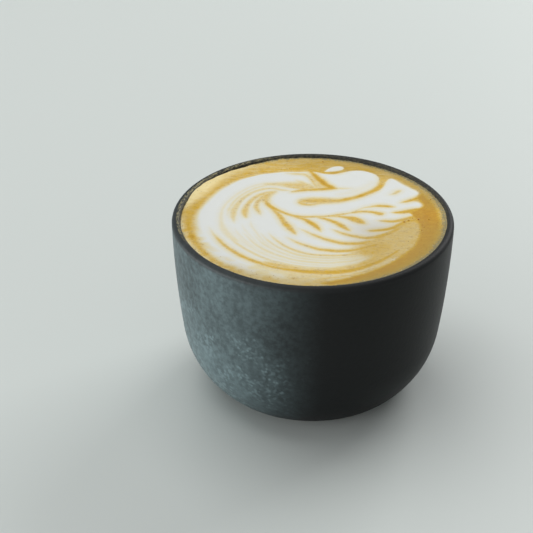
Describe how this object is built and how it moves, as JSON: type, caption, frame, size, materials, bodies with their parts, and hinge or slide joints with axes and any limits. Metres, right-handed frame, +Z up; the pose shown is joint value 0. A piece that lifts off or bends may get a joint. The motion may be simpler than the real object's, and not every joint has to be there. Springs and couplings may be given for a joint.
{
  "type": "cappuccino in a handleless cup",
  "caption": "Cappuccino with a poured swan in its foam, filled to the brim of a round handleless cup of matt black ceramic.",
  "frame": {"origin": "centre of the foot's underside, on the table", "axes": "+Z up along the cup's axis of turning; +Y away from the drinker's side of the cup, +X to the right; the poured swan looks to +X"},
  "size_m": [0.086, 0.086, 0.057],
  "materials": {
    "cup": "matt black glaze",
    "cappuccino": "milk foam and crema"
  },
  "bodies": {
    "root": {"cup": "cup", "cappuccino": "cappuccino"}
  },
  "joints": []
}
